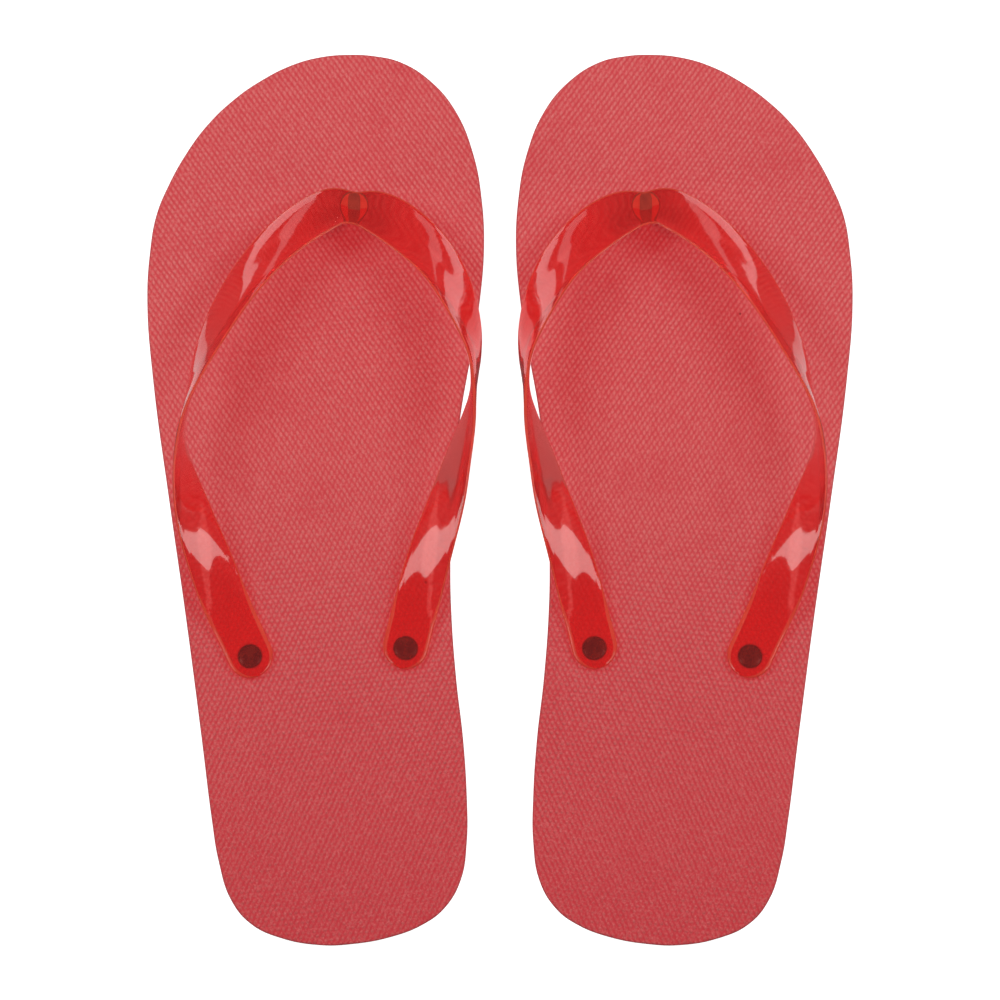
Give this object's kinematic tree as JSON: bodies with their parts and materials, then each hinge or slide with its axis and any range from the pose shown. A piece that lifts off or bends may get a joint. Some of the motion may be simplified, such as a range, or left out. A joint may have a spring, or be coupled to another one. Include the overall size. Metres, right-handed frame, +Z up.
{
  "type": "pair of flip-flop sandals",
  "caption": "Pair of flat foam flip-flop sandals, each with a clear soft strap running from a toe post between the toes to a plug at each side of the arch.",
  "frame": {"origin": "midway between the two sandals, on the floor, at the middle of the pair's length and width", "axes": "+Y towards the toes, +Z up, +X towards the wearer's right, so the right sandal is on the +X side"},
  "size_m": [0.2258, 0.2851, 0.0496],
  "materials": {
    "sole_foam": "matte coral-red EVA foam with a fine embossed lozenge grain on the footbed",
    "strap_pvc": "glossy see-through red soft PVC"
  },
  "bodies": {
    "right_sandal": {"right_sole": "sole_foam", "right_toe_post": "strap_pvc", "right_outer_tail": "strap_pvc", "right_inner_tail": "strap_pvc"},
    "right_outer_arm_body": {"right_outer_arm": "strap_pvc"},
    "right_inner_arm_body": {"right_inner_arm": "strap_pvc"},
    "left_sandal": {"left_sole": "sole_foam", "left_toe_post": "strap_pvc", "left_outer_tail": "strap_pvc", "left_inner_tail": "strap_pvc"},
    "left_outer_arm_body": {"left_outer_arm": "strap_pvc"},
    "left_inner_arm_body": {"left_inner_arm": "strap_pvc"}
  },
  "joints": [
    {"name": "sandal_spacing", "type": "slide", "parent": "right_sandal", "child": "left_sandal", "axis": [-1, 0, 0], "range_m": [0, 0.3]},
    {"name": "right_outer_arm_flop", "type": "hinge", "parent": "right_sandal", "child": "right_outer_arm_body", "pos_m": [0.077, 0.0752, 0.0355], "axis": [0.1523, -0.9819, -0.1127], "range_deg": [-15, 40], "stiffness_Nm_per_rad": 0.05},
    {"name": "right_inner_arm_flop", "type": "hinge", "parent": "right_sandal", "child": "right_inner_arm_body", "pos_m": [0.0204, 0.0768, 0.0351], "axis": [-0.034, 0.9927, 0.1161], "range_deg": [-15, 40], "stiffness_Nm_per_rad": 0.05},
    {"name": "left_outer_arm_flop", "type": "hinge", "parent": "left_sandal", "child": "left_outer_arm_body", "pos_m": [-0.077, 0.0752, 0.0355], "axis": [0.1523, 0.9819, 0.1127], "range_deg": [-15, 40], "stiffness_Nm_per_rad": 0.05},
    {"name": "left_inner_arm_flop", "type": "hinge", "parent": "left_sandal", "child": "left_inner_arm_body", "pos_m": [-0.0204, 0.0768, 0.0351], "axis": [-0.034, -0.9927, -0.1161], "range_deg": [-15, 40], "stiffness_Nm_per_rad": 0.05}
  ]
}
